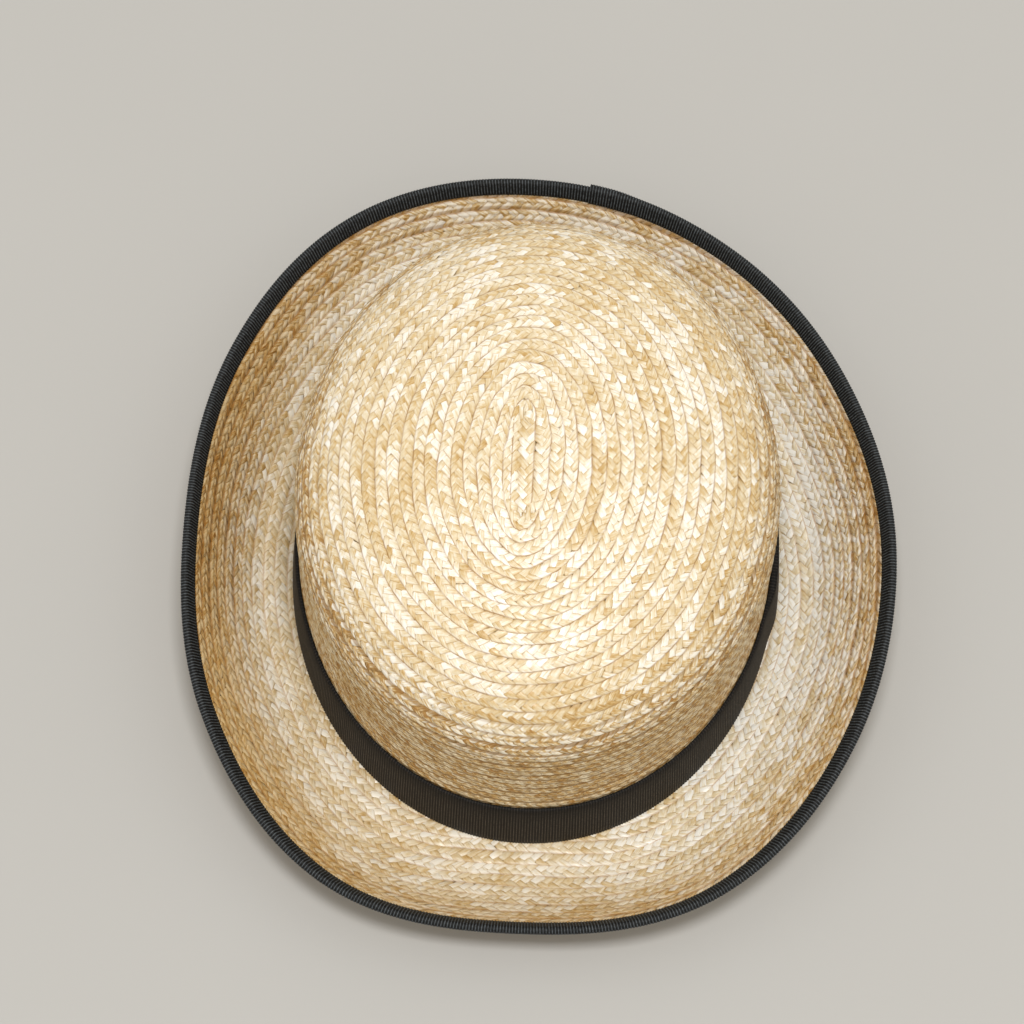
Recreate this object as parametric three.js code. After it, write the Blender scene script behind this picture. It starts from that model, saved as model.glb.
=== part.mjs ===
// Straw bowler hat: a domed crown and a curled brim of sewn straw plait, a ribbed ribbon round the foot
// of the crown and a second one folded over the edge of the brim. It rests on its brim.
// Millimetres, +Z up, +Y to the back of the hat, +X to the wearer's left, origin under the hat's middle.
import * as THREE from 'three';

// Head opening and straw
const headHalfWidth = 83;
const headHalfLength = 100;
const strawWall = 2.2;
const clearance = 0.3;

// Crown, measured up from the headline
const crownHeight = 111.6;
const shoulderHeight = 73;
const wallLean = 1.2;
const wallWaist = 1.2;
const domePower = 2.2;

// Brim: flat seats at front and back, sides that climb straight from the headline, then a curl to the edge,
// slow at front and back and with a knee at the sides
const seatWidth = 8;
const seatHalfAngle = 18;
const seatCurl = 2.3;
const sideSlope = 20;
const sideWidth = 14;
const sideCurl = 1.6;

// Each brim section: bearing round the hat from the wearer's left by way of the back, the reach of its
// edge outward from the headline, and the rise of its edge above the surface that the hat rests on
const brimSections = [
  { bearing: 0, reach: 42.2, rise: 37.5 },
  { bearing: 30, reach: 39.7, rise: 30.5 },
  { bearing: 60, reach: 41.8, rise: 24 },
  { bearing: 90, reach: 44.4, rise: 25 },
  { bearing: 120, reach: 47.4, rise: 30 },
  { bearing: 150, reach: 42, rise: 36 },
  { bearing: 180, reach: 38.8, rise: 39 },
  { bearing: 210, reach: 44.8, rise: 33 },
  { bearing: 240, reach: 48.1, rise: 24 },
  { bearing: 270, reach: 40.4, rise: 19 },
  { bearing: 300, reach: 47.2, rise: 24 },
  { bearing: 330, reach: 45.8, rise: 32 },
];

// Ribbons: the band's folded end and the binding's join are double, between two bearings
const bandFoot = 1.4;
const bandTop = 28.8;
const bandThickness = 0.9;
const bandLap = { from: -14, to: 14, ramp: 0.25, swell: 1.5 };
const bindingWidth = 5;
const bindingThickness = 0.5;
const bindingLap = { from: 75.3, to: 84, ramp: 0.6, swell: 0.5 };

// Fineness of the solids
const stepsRound = 80;
const wallSteps = 5;
const domeSteps = 7;
const brimSteps = 7;
const lapEdge = 0.4;

const headlineHalfWidth = headHalfWidth + strawWall;
const headlineHalfLength = headHalfLength + strawWall;

const evenBearings = Array.from({ length: stepsRound }, (_, step) => (step * 360) / stepsRound);

// Even bearings, with close pairs at the two ends of a lap so that its steps stay sharp
function bearingsWithLap(lap) {
  const ends = [lap.from, lap.to, lap.to + lapEdge].map((bearing) => (bearing + 360) % 360);
  const apart = (a, b) => Math.abs(((a - b + 540) % 360) - 180);
  const kept = evenBearings.filter((bearing) => ends.every((end) => apart(bearing, end) > lapEdge));
  return [...kept, ...ends].sort((a, b) => a - b);
}

// How far a ribbon swells where its end lies over its start: a ramp up from the start, a sharp end
function lapSwell(lap, bearing) {
  const past = ((bearing - lap.from + 180) % 360) - 180;
  const share = past / (lap.to - lap.from);
  const inside = share >= 0 && share <= 1;
  return inside ? lap.swell * THREE.MathUtils.smoothstep(share, 0, lap.ramp) : 0;
}

// 1 at the sides of the hat and 0 on the seats at front and back
function sideShare(bearing) {
  const across = Math.abs(Math.cos(THREE.MathUtils.degToRad(bearing)));
  return THREE.MathUtils.smoothstep(across, Math.sin(THREE.MathUtils.degToRad(seatHalfAngle)), 1);
}

const brimCurve = new THREE.CatmullRomCurve3(
  brimSections.map((section) => new THREE.Vector3(section.reach, section.rise, 0)),
  true,
  'catmullrom',
);

function brimSection(bearing) {
  const edge = brimCurve.getPoint(bearing / 360);
  const side = sideShare(bearing);
  return {
    bearing,
    reach: edge.x,
    rise: edge.y,
    slope: Math.tan(THREE.MathUtils.degToRad(sideSlope * side)),
    flat: THREE.MathUtils.lerp(seatWidth, sideWidth, side),
    curlPower: THREE.MathUtils.lerp(seatCurl, sideCurl, side),
  };
}

// Height and steepness of the brim's underside at a distance out from the headline
function underside(section, out) {
  const curl = section.rise - section.slope * section.reach;
  const curlReach = section.reach - section.flat;
  const share = Math.max(0, (out - section.flat) / curlReach);
  const climb = section.slope * Math.max(0, out);
  const climbSlope = out > 0 ? section.slope : 0;
  return {
    height: climb + curl * share ** section.curlPower,
    slope: climbSlope + (curl * section.curlPower * share ** (section.curlPower - 1)) / curlReach,
  };
}

// A point of the brim: out along its section, up through its thickness, and beyond its edge
function brimPoint(section, out, up, beyond = 0) {
  const angle = THREE.MathUtils.degToRad(section.bearing);
  const foot = new THREE.Vector2(headlineHalfWidth * Math.cos(angle), headlineHalfLength * Math.sin(angle));
  const outward = new THREE.Vector2(
    Math.cos(angle) / headlineHalfWidth,
    Math.sin(angle) / headlineHalfLength,
  ).normalize();
  const { height, slope } = underside(section, out);
  const run = 1 / Math.hypot(1, slope);
  const climb = slope * run;
  const plan = foot.addScaledVector(outward, out + beyond * run - up * climb);
  return new THREE.Vector3(plan.x, plan.y, height + beyond * climb + up * run);
}

// A point of the crown's outside, or inset from it, at a height above the headline
function crownPoint(bearing, height, inset = 0) {
  const angle = THREE.MathUtils.degToRad(bearing);
  const wallShare = Math.min(1, height / shoulderHeight);
  const domeHeight = crownHeight - Math.max(0, inset) - shoulderHeight;
  const domeShare = THREE.MathUtils.clamp((height - shoulderHeight) / domeHeight, 0, 1);
  const narrowing = inset + wallLean * wallShare + wallWaist * Math.sin(Math.PI * wallShare) ** 2;
  const roundness = (1 - domeShare ** domePower) ** (1 / domePower);
  return new THREE.Vector3(
    (headlineHalfWidth - narrowing) * roundness * Math.cos(angle),
    (headlineHalfLength - narrowing) * roundness * Math.sin(angle),
    strawWall + height,
  );
}

// A closed surface through rings of points. A stack that doesn't close on itself ends in two tips.
function skin(rings, tips) {
  const count = rings[0].length;
  const points = rings.flat();
  const faces = [];
  const ringPairs = tips ? rings.length - 1 : rings.length;
  for (let ring = 0; ring < ringPairs; ring += 1) {
    const here = ring * count;
    const there = ((ring + 1) % rings.length) * count;
    for (let step = 0; step < count; step += 1) {
      const next = (step + 1) % count;
      faces.push(here + step, here + next, there + next, here + step, there + next, there + step);
    }
  }
  if (tips) {
    const last = (rings.length - 1) * count;
    points.push(tips.first, tips.last);
    for (let step = 0; step < count; step += 1) {
      const next = (step + 1) % count;
      faces.push(next, step, points.length - 2, last + step, last + next, points.length - 1);
    }
  }
  const geometry = new THREE.BufferGeometry().setFromPoints(points);
  geometry.setIndex(faces);
  geometry.computeVertexNormals();
  return geometry;
}

function crownGeometry() {
  const wallHeights = Array.from({ length: wallSteps + 1 }, (_, step) => (shoulderHeight * step) / wallSteps);
  wallHeights[0] = clearance;
  const domeShares = Array.from({ length: domeSteps }, (_, step) => {
    return Math.sin(((step + 1) / (domeSteps + 1)) * (Math.PI / 2));
  });
  const heights = (inset) => {
    const dome = crownHeight - inset - shoulderHeight;
    return [...wallHeights, ...domeShares.map((share) => shoulderHeight + dome * share)];
  };
  const ring = (height, inset) => evenBearings.map((bearing) => crownPoint(bearing, height, inset));
  const outside = heights(0).map((height) => ring(height, 0));
  const inside = heights(strawWall).map((height) => ring(height, strawWall));
  const tips = {
    first: new THREE.Vector3(0, 0, crownHeight),
    last: new THREE.Vector3(0, 0, crownHeight + strawWall),
  };
  return skin([...inside.reverse(), ...outside], tips);
}

function brimGeometry() {
  const sections = evenBearings.map(brimSection);
  const shares = Array.from({ length: brimSteps }, (_, step) => (step + 1) / brimSteps);
  const distances = [
    () => -strawWall,
    () => 0,
    (section) => section.flat,
    ...shares.map((share) => (section) => THREE.MathUtils.lerp(section.flat, section.reach, share)),
  ];
  const face = (up) => {
    return distances.map((distance) => {
      return sections.map((section) => brimPoint(section, distance(section), up));
    });
  };
  return skin([...face(0), ...face(strawWall).reverse()]);
}

function crownBandGeometry() {
  const bearings = bearingsWithLap(bandLap);
  const bandMiddle = shoulderHeight / wallSteps;
  const inner = (height) => bearings.map((bearing) => crownPoint(bearing, height, -clearance));
  const outer = (height) => {
    return bearings.map((bearing) => {
      return crownPoint(bearing, height, -clearance - bandThickness - lapSwell(bandLap, bearing));
    });
  };
  const heights = [bandFoot, bandMiddle, bandTop];
  return skin([...heights.map(outer), ...heights.toReversed().map(inner)]);
}

function brimBindingGeometry() {
  const sections = bearingsWithLap(bindingLap).map(brimSection);
  const back = (section) => {
    return section.reach - bindingWidth / Math.hypot(1, underside(section, section.reach).slope);
  };
  const thickness = (section) => bindingThickness + lapSwell(bindingLap, section.bearing);
  const inside = -clearance;
  const outside = (section) => -clearance - thickness(section);
  const chain = [
    (s) => brimPoint(s, back(s), outside(s)),
    (s) => brimPoint(s, s.reach, outside(s)),
    (s) => brimPoint(s, s.reach, 0, -outside(s)),
    (s) => brimPoint(s, s.reach, strawWall, -outside(s)),
    (s) => brimPoint(s, s.reach, strawWall - outside(s)),
    (s) => brimPoint(s, back(s), strawWall - outside(s)),
    (s) => brimPoint(s, back(s), strawWall - inside),
    (s) => brimPoint(s, s.reach, strawWall - inside, -inside),
    (s) => brimPoint(s, s.reach, inside, -inside),
    (s) => brimPoint(s, back(s), inside),
  ];
  return skin(chain.map((corner) => sections.map(corner)));
}

const straw = { color: 0xd8bd86, roughness: 0.55, metalness: 0 };
const bandRibbon = { color: 0x2a2422, roughness: 0.8, metalness: 0 };
const bindingRibbon = { color: 0x1c1f25, roughness: 0.75, metalness: 0 };

function piece(name, geometry, look) {
  const mesh = new THREE.Mesh(geometry, new THREE.MeshStandardMaterial(look));
  mesh.name = name;
  return mesh;
}

const hat = new THREE.Group();
hat.add(piece('crown', crownGeometry(), straw));
hat.add(piece('brim', brimGeometry(), straw));
hat.add(piece('crown_band', crownBandGeometry(), bandRibbon));
hat.add(piece('brim_binding', brimBindingGeometry(), bindingRibbon));

// The uneven brim sets the middle of the hat a little off the middle of the head opening
const middle = new THREE.Box3().setFromObject(hat).getCenter(new THREE.Vector3());
hat.position.set(-middle.x, -middle.y, 0);

export default hat;
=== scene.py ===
# Straw bowler hat: rows of sewn straw plait on crown and brim, a ribbed crown band and a bound brim edge
import math

import bmesh
import bpy
import numpy as np
from mathutils import Matrix, Vector


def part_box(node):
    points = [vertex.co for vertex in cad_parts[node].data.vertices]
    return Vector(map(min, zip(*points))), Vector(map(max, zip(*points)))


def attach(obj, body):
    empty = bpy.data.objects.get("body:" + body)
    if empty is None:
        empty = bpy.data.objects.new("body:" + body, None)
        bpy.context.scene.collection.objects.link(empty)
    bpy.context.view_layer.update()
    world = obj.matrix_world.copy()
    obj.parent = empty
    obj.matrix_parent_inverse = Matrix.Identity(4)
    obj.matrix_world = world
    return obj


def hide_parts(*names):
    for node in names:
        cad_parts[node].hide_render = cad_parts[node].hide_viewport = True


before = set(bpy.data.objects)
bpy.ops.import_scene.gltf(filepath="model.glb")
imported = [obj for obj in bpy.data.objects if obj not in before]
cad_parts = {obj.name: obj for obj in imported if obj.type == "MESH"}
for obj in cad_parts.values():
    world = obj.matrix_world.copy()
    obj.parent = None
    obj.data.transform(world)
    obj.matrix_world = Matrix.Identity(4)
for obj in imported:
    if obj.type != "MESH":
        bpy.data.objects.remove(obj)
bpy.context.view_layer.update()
mm = 0.001
rng = np.random.default_rng(11)

crownLow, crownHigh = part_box("crown")
hat = {  # the head oval, read from the crown's solid
    "midX": (crownLow.x + crownHigh.x) / 2,
    "midY": (crownLow.y + crownHigh.y) / 2,
    "halfWidth": (crownHigh.x - crownLow.x) / 2,
    "halfLength": (crownHigh.y - crownLow.y) / 2,
    "wall": 2.2 * mm,
    "turnSteps": 360,
}


def smoothStep(value, low, high):
    share = np.clip((value - low) / (high - low), 0, 1)
    return share * share * (3 - 2 * share)


def unit(vectors):
    return vectors / np.maximum(np.linalg.norm(vectors, axis=-1, keepdims=True), 1e-12)


# A sheet is a grid of surface points and outward normals: turns round the hat by even steps down each
# section, over the whole section or over a fixed depth back from its end
def evenSheet(points, normals, steps, depth=None):
    lengths = np.linalg.norm(np.diff(points, axis=1), axis=2)
    travel = np.concatenate([np.zeros((len(points), 1)), np.cumsum(lengths, axis=1)], axis=1)
    even = np.linspace(0, 1, steps + 1)
    columns = np.concatenate([points, normals], axis=2)
    rows = []
    for way, column in zip(travel, columns):
        places = way[-1] - (1 - even) * (depth or way[-1])
        rows.append([np.interp(places, way, part) for part in column.T])
    grid = np.array(rows).transpose(0, 2, 1)
    return {"points": grid[..., :3], "normals": unit(grid[..., 3:])}


def onSheet(sheet, turn, down):
    turnSteps, downSteps = sheet["points"].shape[0], sheet["points"].shape[1] - 1
    turnPlace = (turn % 1.0) * turnSteps
    downPlace = np.clip(down, 0, 1) * downSteps
    i = np.floor(turnPlace).astype(int) % turnSteps
    j = np.minimum(np.floor(downPlace).astype(int), downSteps - 1)
    di = (turnPlace - np.floor(turnPlace))[..., None]
    dj = (downPlace - j)[..., None]
    k = (i + 1) % turnSteps

    def blend(grid):
        near = grid[i, j] * (1 - dj) + grid[i, j + 1] * dj
        far = grid[k, j] * (1 - dj) + grid[k, j + 1] * dj
        return near * (1 - di) + far * di

    return blend(sheet["points"]), unit(blend(sheet["normals"]))


crown = {
    "height": crownHigh.z - hat["wall"],
    "shoulder": 73 * mm,
    "lean": 1.2 * mm,
    "waist": 1.2 * mm,
    "domePower": 2.2,
    "domeSteps": 150,
    "wallSteps": 60,
    "sheetSteps": 170,
    "startX": -5.5 * mm,  # the first stretch of plait lies off the middle of the tip
    "startY": -6 * mm,
    "startHalf": 18 * mm,
    "startLength": 46 * mm,
    "startWidth": 2.5,  # in straws
    "startLift": 0.32 * mm,
    "startSink": 0.65 * mm,  # both ends of the first stretch dip under the rows round it
    "startTaper": (2.2, 0.5),  # where an end begins and stops dipping, in straws from it
    "rows": 37.5,
    "firstRow": 1.1,
    "lastRow": 33.75,
    "insideFirstRow": 0.3,
    "insideEnd": 0.985,  # share of the way down
    "sectionLength": 173 * mm,
    "bandCover": 25 * mm,  # below this height the band hides the straw
    "yellowSpan": (0.4, 0.62),  # the straw is yellower between these shares of the way down
}


def wallPoints(turn, height, inset):
    angle = 2 * math.pi * turn
    share = np.clip(height / crown["shoulder"], 0, 1)
    narrowing = inset + crown["lean"] * share + crown["waist"] * np.sin(math.pi * share) ** 2
    x = hat["midX"] + (hat["halfWidth"] - narrowing) * np.cos(angle)
    y = hat["midY"] + (hat["halfLength"] - narrowing) * np.sin(angle)
    return np.stack([x, y, hat["wall"] + height + 0 * angle], axis=-1)


# Dome points over plan places measured from the middle of the head oval
def domePoints(planX, planY, inset):
    power = crown["domePower"]
    a = hat["halfWidth"] - inset - crown["lean"]
    b = hat["halfLength"] - inset - crown["lean"]
    height = crown["height"] - inset - crown["shoulder"]
    radius = np.minimum(np.hypot(planX / a, planY / b), 1)
    rise = (1 - radius**power) ** (1 / power)
    z = hat["wall"] + crown["shoulder"] + height * rise
    steep = radius ** (power - 2)
    normals = np.stack([steep * planX / a**2, steep * planY / b**2, rise ** (power - 1) / height], axis=-1)
    return np.stack([hat["midX"] + planX, hat["midY"] + planY, z], axis=-1), unit(normals)


def crownSheet(inset, facing):
    turn = (np.arange(hat["turnSteps"]) / hat["turnSteps"])[:, None]
    angle = 2 * math.pi * turn
    quarter = np.linspace(0, math.pi / 2, crown["domeSteps"])[None, :]
    spread = np.sin(quarter)  # closer together towards the shoulder
    a = hat["halfWidth"] - inset - crown["lean"]
    b = hat["halfLength"] - inset - crown["lean"]
    planX = (1 - spread) * crown["startX"] + spread * a * np.cos(angle)
    startY = crown["startY"] + crown["startHalf"] * np.sin(angle)
    planY = (1 - spread) * startY + spread * b * np.sin(angle)
    domeSide, domeNormals = domePoints(planX, planY, inset)
    heights = np.linspace(crown["shoulder"], 0, crown["wallSteps"])[None, 1:]
    wallSide = wallPoints(turn + 0 * heights, heights + 0 * turn, inset)
    wallNormals = np.stack([np.cos(angle) / a, np.sin(angle) / b, 0 * angle], axis=-1) + 0 * wallSide
    points = np.concatenate([domeSide, wallSide], axis=1)
    normals = np.concatenate([domeNormals, unit(wallNormals)], axis=1)
    return evenSheet(points, normals * facing, crown["sheetSteps"])


brim = {
    "sections": [  # reach and rise of the edge, as in the solids, every 30 degrees from the wearer's left
        {"reach": 42.2 * mm, "rise": 37.5 * mm},
        {"reach": 39.7 * mm, "rise": 30.5 * mm},
        {"reach": 41.8 * mm, "rise": 24 * mm},
        {"reach": 44.4 * mm, "rise": 25 * mm},
        {"reach": 47.4 * mm, "rise": 30 * mm},
        {"reach": 42 * mm, "rise": 36 * mm},
        {"reach": 38.8 * mm, "rise": 39 * mm},
        {"reach": 44.8 * mm, "rise": 33 * mm},
        {"reach": 48.1 * mm, "rise": 24 * mm},
        {"reach": 40.4 * mm, "rise": 19 * mm},
        {"reach": 47.2 * mm, "rise": 24 * mm},
        {"reach": 45.8 * mm, "rise": 32 * mm},
    ],
    "seatWidth": 8 * mm,
    "seatHalfAngle": 18,
    "seatCurl": 2.3,
    "sideSlope": 20,
    "sideWidth": 14 * mm,
    "sideCurl": 1.6,
    "sectionSteps": 160,
    "sheetSteps": 120,
    "lengthSteps": 120,
    "plaitUp": 0.5 * mm,  # the plait below is let in by its relief, so that no straw goes under the floor
    "depth": 67.2 * mm,  # rows run parallel to the brim's edge, so some start inside the headline
    "inward": 24 * mm,  # how far the sheet goes in past the headline
    "rows": 14.6,
    "firstRow": 0.2,
    "underFirstRow": -0.9,
    "plaitEnd": 0.965,  # share of the way out
    "sink": 0.3 * mm,  # the plait goes down under the binding
    "sinkSpan": (0.88, 0.94),
}


# A smooth closed curve through the brim's sections
def alongSections(column, turn):
    values = np.array([section[column] for section in brim["sections"]])
    place = (turn % 1.0) * len(values)
    i = np.floor(place).astype(int)
    f = place - i
    before, here, after, later = (values[(i + step) % len(values)] for step in (-1, 0, 1, 2))
    bend = 3 * (here - after) + later - before
    return here + 0.5 * f * (after - before + f * (2 * before - 5 * here + 4 * after - later + f * bend))


def brimPoints(turn, out, up, beyond=0.0):
    angle = 2 * math.pi * turn
    reach, rise = alongSections("reach", turn), alongSections("rise", turn)
    side = smoothStep(np.abs(np.cos(angle)), math.sin(math.radians(brim["seatHalfAngle"])), 1)
    sideSlope = np.tan(math.radians(brim["sideSlope"]) * side)
    flat = brim["seatWidth"] + (brim["sideWidth"] - brim["seatWidth"]) * side
    power = brim["seatCurl"] + (brim["sideCurl"] - brim["seatCurl"]) * side
    curl = rise - sideSlope * reach
    share = np.maximum(0, (out - flat) / (reach - flat))
    height = sideSlope * np.maximum(0, out) + curl * share**power
    slope = np.where(out > 0, sideSlope, 0) + curl * power * share ** (power - 1) / (reach - flat)
    run = 1 / np.hypot(1, slope)
    climb = slope * run
    outward = unit(np.stack([np.cos(angle) / hat["halfWidth"], np.sin(angle) / hat["halfLength"]], axis=-1))
    distance = out + beyond * run - up * climb
    x = hat["midX"] + hat["halfWidth"] * np.cos(angle) + outward[..., 0] * distance
    y = hat["midY"] + hat["halfLength"] * np.sin(angle) + outward[..., 1] * distance
    points = np.stack([x, y, height + beyond * climb + up * run], axis=-1)
    normals = np.stack([-outward[..., 0] * climb, -outward[..., 1] * climb, run], axis=-1)
    return points, normals


def brimSheet(up, facing, inward, depth=None):
    turn = (np.arange(hat["turnSteps"]) / hat["turnSteps"])[:, None]
    shares = np.linspace(0, 1, brim["sectionSteps"])[None, :]
    out = shares * (alongSections("reach", turn) + inward) - inward
    points, normals = brimPoints(turn + 0 * out, out, up)
    return evenSheet(points, normals * facing, brim["sheetSteps"], depth)


def addObject(name, mesh, material):
    piece = bpy.data.objects.new(name, mesh)
    bpy.context.scene.collection.objects.link(piece)
    mesh.materials.append(material)
    return piece


weld = {"within": 0.001 * mm, "flatBelow": 0.0001 * mm}


# A closed shell: a flat grid bent round the hat by a function of turn and step, welded along its seams
def weldedShell(name, turnSteps, waySteps, bend, material):
    bm = bmesh.new()
    bmesh.ops.create_grid(bm, x_segments=turnSteps, y_segments=waySteps, size=0.5)
    flat = np.array([vertex.co for vertex in bm.verts])
    turn = np.round((flat[:, 0] + 0.5) * turnSteps) / turnSteps
    bent, ribs = bend(turn, np.round((flat[:, 1] + 0.5) * waySteps).astype(int) % waySteps)
    layer = bm.verts.layers.float_vector.new("rib")
    for vertex, place, rib in zip(bm.verts, bent, ribs):
        vertex.co = place
        vertex[layer] = rib
    bmesh.ops.remove_doubles(bm, verts=bm.verts, dist=weld["within"])
    bmesh.ops.dissolve_degenerate(bm, dist=weld["flatBelow"], edges=bm.edges)
    bmesh.ops.recalc_face_normals(bm, faces=bm.faces)
    mesh = bpy.data.meshes.new(name)
    bm.to_mesh(mesh)
    bm.free()
    mesh.shade_smooth()
    print(f"{name}: {len(mesh.polygons)} faces")
    return addObject(name, mesh, material)


plait = {
    "pitch": 3.7 * mm,  # along a row, from one straw to the next
    "straw": 3.1 * mm,  # across a row
    "shown": 1.48,  # the width of a row that shows, in straws
    "peak": 0.25 * mm,  # a row is bowed: its crest stands highest, its inner side dips under the next row
    "crest": 0.35,
    "bow": 0.12 * mm,
    "steepBow": 0.45 * mm,  # the same on walls and curled edges, where rows look like cords
    "bowEnd": 1.5,
    "steepSpan": (0.1, 0.6),  # of 1 less the height of a sheet's normal, from flat to steep
    "tilt": 0.13 * mm,
    "stray": 0.09,  # how far a straw's corners stray from their places, in straws
    "loosening": 3,  # how fast a straw leaves its line past the folded edge
    "bulgeAtSides": 0.3,
    "across": (-0.09, 0.5, 1.09),
    "arch": (-0.08, 0.03, -0.08),
    "steepArch": 2.5,  # straws stand out more where the sheet is steep
    "wander": ((5.37, 0.05), (8.91, 0.04), (14.3, 0.03)),  # how a row strays from its line, in row widths
    "spiralSteps": 8000,
    "sharpAngle": 50,
}
strawShapes = [  # corners in straws: left and right where a straw comes up, then where it goes under
    {
        "near": ((0.0, 0.0), (1.0, 0.0)),  # folded round the row's outer edge
        "far": ((-0.5, 0.5), (0.0, 1.0)),
        "stations": (0.0, 0.0, 0.1, 0.8, 1.15),
        "heights": (-0.5, -0.05, 0.06, 0.09, -0.18),
        "bulge": (0.02, -0.02, -0.01, 0.0, 0.0),
    },
    {
        "near": ((0.0, 1.0), (0.5, 0.5)),  # slanted the other way, then tucked under the row above
        "far": ((1.0, 2.0), (1.5, 1.5)),
        "stations": (-0.2, 0.12, 0.75, 1.05),
        "heights": (-0.18, 0.06, 0.08, -0.15),
        "bulge": (0.0, 0.0, 0.0, 0.0),
    },
]
liningSteps = [  # fewer steps, for the inside and the underside
    {"stations": (0.0, 0.3, 1.15), "heights": (-0.2, 0.1, -0.18), "bulge": (0.0, 0.0, 0.0)},
    {"stations": (-0.2, 0.3, 1.05), "heights": (-0.18, 0.09, -0.15), "bulge": (0.0, 0.0, 0.0)},
]
liningShapes = [{**shape, **steps} for shape, steps in zip(strawShapes, liningSteps)]
strawTones = {  # 0 is the palest straw and 1 the darkest
    "clusterWidth": 1.1,  # pale straws come in clusters along a row
    "clusterNoise": 0.8,
    "paleFrom": 0.8,
    "paleTones": (0.03, 0.2),
    "middle": 0.36,
    "driftWidth": 10,
    "drift": 0.06,
    "spread": 0.06,
    "darkShare": 0.05,
    "darkTones": (0.48, 0.64),
    "paintedLightPaling": 0.3,  # painted light: how much paler straw is where its age and painted light is below 0, at the brim's back and beside the crown on the wearer's left
    "noiseReach": 30,
}


# Faces of one straw: its top in quads, and a flat underside that closes it
def strawFaces(stations, sides):
    def at(station, side):
        return station * sides + side

    top = [(at(i, j), at(i, j + 1), at(i + 1, j + 1), at(i + 1, j))
           for i in range(stations - 1) for j in range(sides - 1)]
    under = []
    for i in range(stations - 1):
        first = [at(i, sides - 1), at(i, 0)]
        last = [at(i + 1, 0), at(i + 1, sides - 1)]
        if i == 0:
            first = [at(i, j) for j in range(sides)][::-1]
        if i == stations - 2:
            last = [at(i + 1, j) for j in range(sides)]
        under.append(tuple(first + last))
    return top + under


def smoothNoise(count, width):
    reach = strawTones["noiseReach"]
    kernel = np.exp(-0.5 * (np.arange(-reach, reach + 1) / width) ** 2)
    noise = np.convolve(rng.normal(size=count + 2 * reach), kernel, "valid")
    return (noise - np.mean(noise)) / np.std(noise)


# One tone for each straw: clusters of pale straws among middling ones that drift, and a few dark ones
def drawTones(count, clusters, drift, ageAndPaintedLight):
    pale = clusters + rng.normal(0, strawTones["clusterNoise"], count) > strawTones["paleFrom"]
    paleTone = rng.uniform(*strawTones["paleTones"], count)
    spread = rng.normal(0, strawTones["spread"], count)
    tone = np.where(pale, paleTone, strawTones["middle"] + strawTones["drift"] * drift + spread)
    dark = ~pale & (rng.random(count) < strawTones["darkShare"])
    tone = np.where(dark, rng.uniform(*strawTones["darkTones"], count), tone)
    return np.clip(tone + strawTones["paintedLightPaling"] * np.minimum(ageAndPaintedLight, 0), 0, 1)


# Joins all straws of a plait into one mesh, placed by a function of their place along the row, across it
# and their height that also tells each straw's age and painted light, how steep the sheet is there and
# whether it is kept
def plaitMesh(name, count, place, shapes):
    rowPlace = np.arange(count)
    clusters = smoothNoise(count, strawTones["clusterWidth"])
    drift = smoothNoise(count, strawTones["driftWidth"])
    vertices, faces, looks, fibres, rows = [], [], [], [], []
    for shape in shapes:
        stations = np.array(shape["stations"])[:, None]
        sides = np.array(plait["across"])[None, :]
        near, far = np.array(shape["near"]), np.array(shape["far"])
        nearEnd = near[0] + (near[1] - near[0]) * sides[..., None]
        farEnd = far[0] + (far[1] - far[0]) * sides[..., None]
        flat = nearEnd + (farEnd - nearEnd) * stations[..., None]
        stray = rng.uniform(-1, 1, (6, count, 1, 1, 2)) * plait["stray"]
        waist = 4 * stations * np.clip(1 - stations, 0, 1)
        ways = [part[..., None] for part in ((1 - stations) * (1 - sides), (1 - stations) * sides,
                                             stations * (1 - sides), stations * sides,
                                             waist * (1 - sides), waist * sides)]
        wander = sum(corner * way for corner, way in zip(stray, ways))
        middle = 1 - (2 * sides - 1) ** 2
        arch = np.array(plait["arch"])[None, :] * mm
        lean = rng.uniform(-1, 1, (2, count, 1, 1)) * plait["tilt"]
        x = rowPlace[:, None, None] + flat[..., 0] + wander[..., 0]
        steady = np.minimum(1, stations * plait["loosening"])  # the folded edge keeps to its line
        bulge = np.array(shape["bulge"])[:, None] * (plait["bulgeAtSides"] + middle)
        y = flat[..., 1] + bulge + wander[..., 1] * steady
        h = np.array(shape["heights"])[:, None] * mm + lean[0] * (stations - 0.5) + lean[1] * (sides - 0.5)
        spots, ageAndPaintedLight, steep, keep = place(x, y, h, arch)
        tone = drawTones(count, clusters, drift, ageAndPaintedLight)
        look = [tone, rng.uniform(0, 1, count), rng.uniform(0, 1, count), np.maximum(ageAndPaintedLight, 0)]
        look = np.stack(look, axis=-1)
        fibre = np.stack(np.broadcast_arrays(stations, sides, 0 * x), axis=-1)
        row = np.stack(np.broadcast_arrays(y, steep, x), axis=-1)
        kept = np.flatnonzero(keep)
        start = sum(len(part) for part in vertices)
        corners = stations.size * sides.size
        template = strawFaces(stations.size, sides.size)
        vertices.append(spots[kept].reshape(-1, 3))
        faces += [[start + corners * k + corner for corner in face]
                  for k in range(len(kept)) for face in template]
        looks.append(np.repeat(look[kept], corners, axis=0))
        fibres.append(fibre[kept].reshape(-1, 3))
        rows.append(row[kept].reshape(-1, 3))
    mesh = bpy.data.meshes.new(name)
    mesh.from_pydata(np.concatenate(vertices), [], faces)
    look = mesh.attributes.new("straw", "FLOAT_COLOR", "POINT")
    look.data.foreach_set("color", np.concatenate(looks).astype(np.float32).ravel())
    for title, parts in (("fibre", fibres), ("row", rows)):
        places = mesh.attributes.new(title, "FLOAT_VECTOR", "POINT")
        places.data.foreach_set("vector", np.concatenate(parts).astype(np.float32).ravel())
    mesh.shade_smooth()
    mesh.set_sharp_from_angle(angle=math.radians(plait["sharpAngle"]))
    mesh.calc_loop_triangles()
    print(f"{name}: {count * len(shapes)} straws, {len(mesh.loop_triangles)} triangles")
    return mesh


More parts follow.
